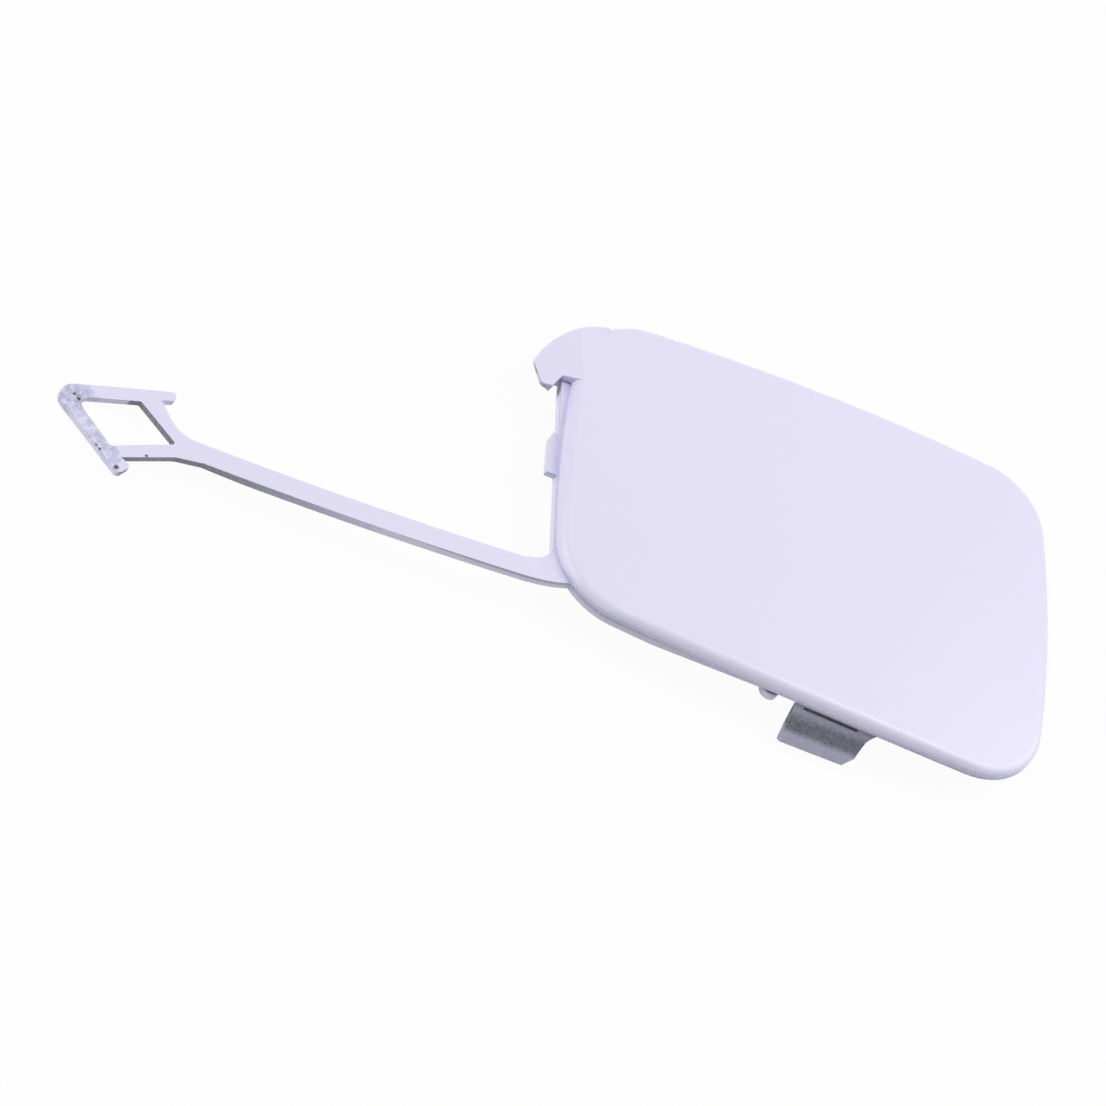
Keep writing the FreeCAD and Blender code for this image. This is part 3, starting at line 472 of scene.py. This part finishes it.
def film_colour(tree, cover_and_painted_shade):
    node = add_node(tree, "ShaderNodeValToRGB")
    stops = node.color_ramp.elements
    stops[0].color = BARE
    stops[1].color = PAINT
    stops.new(THIN_AT).color = THIN
    stops.new(MISTED_AT).color = MISTED
    feed(tree, node.inputs[0], cover_and_painted_shade)
    return node.outputs[0]


def film_bump(tree, cover_and_painted_shade, droplets):
    """Orange peel in the closed film, grain where it is thin."""
    position = add_node(tree, "ShaderNodeTexCoord").outputs["Object"]
    peel = product(tree, noise(tree, position, PEEL_SCALE, PEEL_DETAIL), PEEL_DEPTH)
    grain = product(tree, droplets, GRAIN_DEPTH)
    bump = add_node(tree, "ShaderNodeBump")
    bump.inputs["Strength"].default_value = 0.2
    bump.inputs["Distance"].default_value = 0.05 * MM
    feed(tree, bump.inputs["Height"], blend(tree, cover_and_painted_shade, grain, peel))
    return bump.outputs["Normal"]


def painted_plastic():
    material = bpy.data.materials.new("painted_plastic")
    material.use_nodes = True
    tree = material.node_tree
    shader = tree.nodes["Principled BSDF"]
    spray = place_group(tree, spray_group)
    # This value holds the film's thickness and also the painted shade at the rim, the lug and the
    # finger.
    cover_and_painted_shade = spray.outputs["Cover"]
    rough = smooth_step(tree, cover_and_painted_shade, GLOSS_FROM, 1.0, BARE_ROUGHNESS, PAINT_ROUGHNESS)
    feed(tree, shader.inputs["Base Color"], film_colour(tree, cover_and_painted_shade))
    feed(tree, shader.inputs["Roughness"], rough)
    feed(tree, shader.inputs["Normal"], film_bump(tree, cover_and_painted_shade, spray.outputs["Grain"]))
    shader.inputs["IOR"].default_value = 1.5
    shader.inputs["Coat Weight"].default_value = 0.15
    shader.inputs["Coat Roughness"].default_value = 0.15
    lay_out(tree)
    return material


paint_material = painted_plastic()
cover.data.materials.clear()
cover.data.materials.append(paint_material)
print("painted:", cover.name)

# %% [markdown]
# ## Floor
# The photograph's background is plain white. More light would turn a plain floor white, but would
# bleach the paint with it. So the floor is a matt pale grey sheet for the light, and nearly white
# for whatever looks at it: the camera, a glossy reflection or a view through glass. A little of
# the plain sheet is left in, and keeps the cover's soft shadow.

# %% Floor
FLOOR_SIZE = 6.0
FLOOR_COLOUR = (0.8, 0.8, 0.8, 1.0)
FLOOR_WHITE = 0.96
WHITE = (1.0, 1.0, 1.0, 1.0)

floor_height = cad_box[0][2]
bpy.ops.mesh.primitive_plane_add(size=FLOOR_SIZE, location=(0.0, 0.0, floor_height))
floor = bpy.context.object
floor.name = "Floor"


def looked_at(tree):
    """1 for rays that show the background: the camera's, mirrored and through glass."""
    rays = add_node(tree, "ShaderNodeLightPath").outputs
    return largest(tree, rays["Is Camera Ray"], rays["Is Glossy Ray"], rays["Is Transmission Ray"])


def floor_sheet():
    material = bpy.data.materials.new("floor_sheet")
    material.use_nodes = True
    tree = material.node_tree
    shader = tree.nodes["Principled BSDF"]
    shader.inputs["Base Color"].default_value = FLOOR_COLOUR
    shader.inputs["Roughness"].default_value = 0.9
    white = add_node(tree, "ShaderNodeEmission")
    white.inputs["Color"].default_value = WHITE
    white.inputs["Strength"].default_value = 1.0
    both = add_node(tree, "ShaderNodeMixShader")
    feed(tree, both.inputs[0], product(tree, looked_at(tree), FLOOR_WHITE))
    feed(tree, both.inputs[1], shader.outputs[0])
    feed(tree, both.inputs[2], white.outputs[0])
    feed(tree, tree.nodes["Material Output"].inputs["Surface"], both.outputs[0])
    lay_out(tree)
    return material


floor.data.materials.append(floor_sheet())
print("floor at", round(floor_height / MM, 2), "mm")

# %% [markdown]
# ## Sky and lamps
# The world works like the floor: white where it is looked at, and a dim even fill for everything
# else. A picture of a studio could light the scene, but plain lamps are easier to move. A broad
# lamp stands at the left and another hangs at the upper right, so the left side is as bright as
# the face and the sides towards the camera fall into shade. Where the right lamp mirrors in the
# lower rim it draws a faint highlight, and a small lamp above adds to it.

# %% World
SKY = 0.22

world = bpy.data.worlds.new("Studio")
bpy.context.scene.world = world
world.use_nodes = True
sky = world.node_tree.nodes["Background"]
sky.inputs["Color"].default_value = WHITE
sky_strength = smooth_step(world.node_tree, looked_at(world.node_tree), 0.0, 1.0, SKY, 1.0)
feed(world.node_tree, sky.inputs["Strength"], sky_strength)
lay_out(world.node_tree)
print("fill from the sky:", SKY)

# %% Lamps
# Name, place, the point it looks at and its width in metres, and its power in watts.
LAMPS = (
    ("LeftLamp", (-1.3, 0.16, 0.95), (0.0, 0.0, 0.0), 1.7, 18.3),
    ("RightLamp", (0.75, 0.12, 0.68), (0.0, 0.0, 0.0), 1.2, 8.4),
    ("EdgeLamp", (0.26, 0.1, 0.55), (0.02, 0.0, 0.0), 0.16, 0.14),
)


def soft_lamp(name, place, target, width, power):
    data = bpy.data.lights.new(name, "AREA")
    data.shape = "DISK"
    data.size = width
    data.energy = power
    lamp = bpy.data.objects.new(name, data)
    bpy.context.scene.collection.objects.link(lamp)
    lamp.location = place
    lamp.rotation_euler = (Vector(target) - Vector(place)).to_track_quat("-Z", "Y").to_euler()
    return lamp


lamps = [soft_lamp(*lamp) for lamp in LAMPS]
print("lamps:", [lamp.name for lamp in lamps])

# %% [markdown]
# ## Camera
# The photograph was taken from the front left and from above with a long lens. A camera could be
# aimed at a point, but this one is also rolled to one side, so its three axes are written as
# directions in the object's own frame.

# %% Camera
CAMERA_RIGHT = Vector((0.88014, 0.06671, 0.47001))
CAMERA_UP = Vector((-0.34695, 0.76616, 0.54095))
CAMERA_BACK = Vector((-0.32401, -0.63918, 0.69747))
CAMERA_PLACE = Vector((-0.35842, -0.64457, 0.68368))
SENSOR = 36.0
FOCAL_LENGTH = 218.08

camera_data = bpy.data.cameras.new("Camera")
camera_data.sensor_width = SENSOR
camera_data.sensor_height = SENSOR
camera_data.sensor_fit = "HORIZONTAL"
camera_data.lens = FOCAL_LENGTH
camera = bpy.data.objects.new("Camera", camera_data)
bpy.context.scene.collection.objects.link(camera)
turn = Matrix((CAMERA_RIGHT, CAMERA_UP, CAMERA_BACK)).transposed()
camera.matrix_world = Matrix.Translation(CAMERA_PLACE) @ turn.to_4x4()
bpy.context.scene.camera = camera
bpy.context.scene.view_settings.view_transform = "Standard"
print("camera at", [round(value, 3) for value in CAMERA_PLACE])
